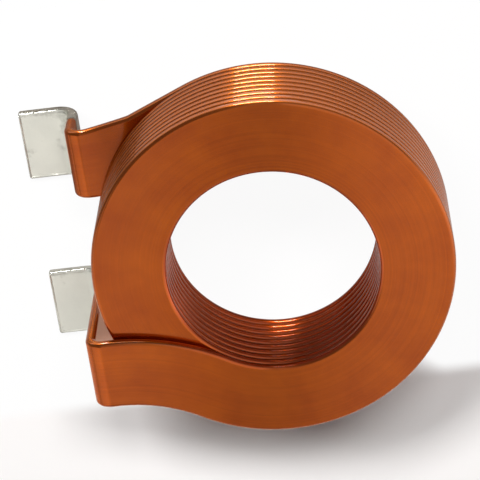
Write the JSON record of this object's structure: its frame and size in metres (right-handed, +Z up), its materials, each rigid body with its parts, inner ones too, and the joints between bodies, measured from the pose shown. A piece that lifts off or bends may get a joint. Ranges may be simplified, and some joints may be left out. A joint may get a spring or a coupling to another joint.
{
  "type": "flat wire inductor coil",
  "caption": "Air coil of flat enamelled copper wire wound on edge, with both leads on one side folded down to tinned soldering tabs; the winding of a power inductor.",
  "frame": {"origin": "on the coil's axis, in the plane of the board that the soldering tabs stand on", "axes": "+Z up along the coil's axis, away from the board; the leads and tabs point along -X; the front lead, which leaves the top turn, is at -Y"},
  "size_m": [0.029, 0.0242, 0.0124],
  "materials": {
    "enamelled_copper": "glossy clear amber enamel over drawn copper",
    "tin": "satin hot-dipped solder"
  },
  "bodies": {
    "root": {"winding": "enamelled_copper", "front_terminal_tin": "tin", "rear_terminal_tin": "tin"}
  },
  "joints": []
}
